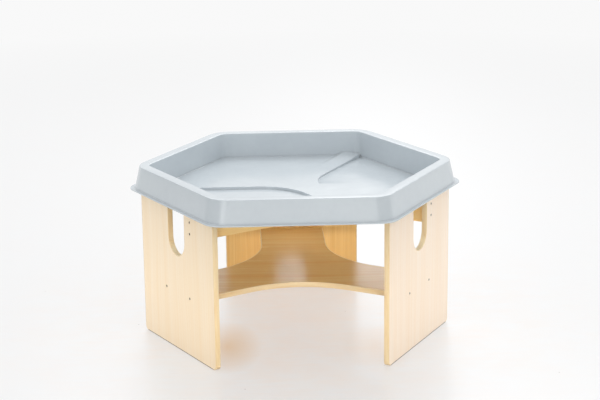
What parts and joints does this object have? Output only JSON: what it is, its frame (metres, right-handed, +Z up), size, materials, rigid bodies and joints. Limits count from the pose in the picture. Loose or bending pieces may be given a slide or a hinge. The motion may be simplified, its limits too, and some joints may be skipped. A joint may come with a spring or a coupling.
{
  "type": "play table",
  "caption": "Hexagonal low play table: moulded grey tray with a hollow rim and shaped floor that lifts off a wooden stand of leg panels, storage shelf and top rails.",
  "frame": {"origin": "on the floor, straight below the middle of the hexagonal tray, at the bottom centre of the bounding box", "axes": "+X through two opposite corners of the tray and to the viewer's right in the picture, +Y to the back leg, +Z up; the open front faces -Y"},
  "size_m": [0.9458, 0.833, 0.487],
  "materials": {
    "faced_board": "pale beech face, satin, grain upright on the legs and across the shelf",
    "edging": "lipping strip, satin",
    "rail_board": "satin",
    "dowel_wood": "raw",
    "screw_steel": "dark bronze",
    "tray_plastic": "light grey moulded sheet, satin"
  },
  "bodies": {
    "stand": {"leg_panel_left": "faced_board", "leg_panel_right": "faced_board", "leg_panel_back": "faced_board", "shelf": "faced_board", "leg_left_edging_left": "edging", "leg_left_edging_right": "edging", "leg_right_edging_left": "edging", "leg_right_edging_right": "edging", "leg_back_edging_left": "edging", "leg_back_edging_right": "edging", "slot_edging_left": "edging", "slot_edging_right": "edging", "slot_edging_back": "edging", "shelf_edging_front": "edging", "shelf_edging_rear_left": "edging", "shelf_edging_rear_right": "edging", "rail_left": "rail_board", "rail_right": "rail_board", "rail_back": "rail_board", "rail_screw_left_lower": "screw_steel", "rail_screw_left_upper": "screw_steel", "rail_screw_right_lower": "screw_steel", "rail_screw_right_upper": "screw_steel", "rail_screw_back_lower": "screw_steel", "rail_screw_back_upper": "screw_steel", "shelf_screw_left_left": "screw_steel", "shelf_screw_left_right": "screw_steel", "shelf_screw_right_left": "screw_steel", "shelf_screw_right_right": "screw_steel", "shelf_screw_back_left": "screw_steel", "shelf_screw_back_right": "screw_steel", "rail_dowel_left_lower": "dowel_wood", "rail_dowel_left_upper": "dowel_wood", "rail_dowel_right_lower": "dowel_wood", "rail_dowel_right_upper": "dowel_wood", "rail_dowel_back_lower": "dowel_wood", "rail_dowel_back_upper": "dowel_wood"},
    "tray": {"tray": "tray_plastic"}
  },
  "joints": [
    {"name": "tray_lift", "type": "slide", "parent": "stand", "child": "tray", "axis": [0, 0, 1], "range_m": [0, 0.15]}
  ]
}
